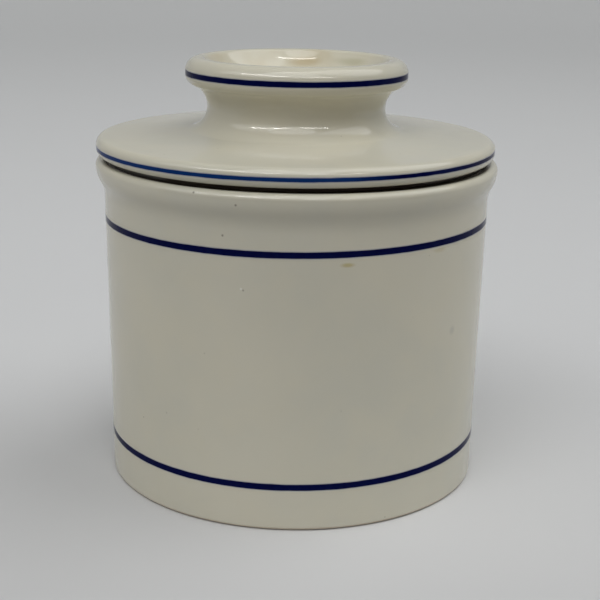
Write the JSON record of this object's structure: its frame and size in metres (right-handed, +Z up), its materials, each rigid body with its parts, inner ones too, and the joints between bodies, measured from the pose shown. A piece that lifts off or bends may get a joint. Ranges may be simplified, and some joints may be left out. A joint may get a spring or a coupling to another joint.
{
  "type": "butter keeper",
  "caption": "Cream stoneware crock with a flared rim and a knobbed lid whose bell hangs in the water inside, lined in cobalt.",
  "frame": {"origin": "centre of the foot ring, on the table that the crock stands on", "axes": "+Z up along the crock's axis, through the knob; -Y is the side seen in front"},
  "size_m": [0.1024, 0.1024, 0.1073],
  "materials": {
    "crock_glaze": "gloss",
    "lid_glaze": "gloss",
    "cobalt_line": "gloss"
  },
  "bodies": {
    "crock": {"crock": "crock_glaze", "crock_upper_band": "cobalt_line", "crock_lower_band": "cobalt_line"},
    "lid": {"bell_lid": "lid_glaze", "lid_band": "cobalt_line", "knob_band": "cobalt_line"}
  },
  "joints": [
    {"name": "lid_lift", "type": "slide", "parent": "crock", "child": "lid", "axis": [0, 0, 1], "range_m": [0, 0.075]}
  ]
}
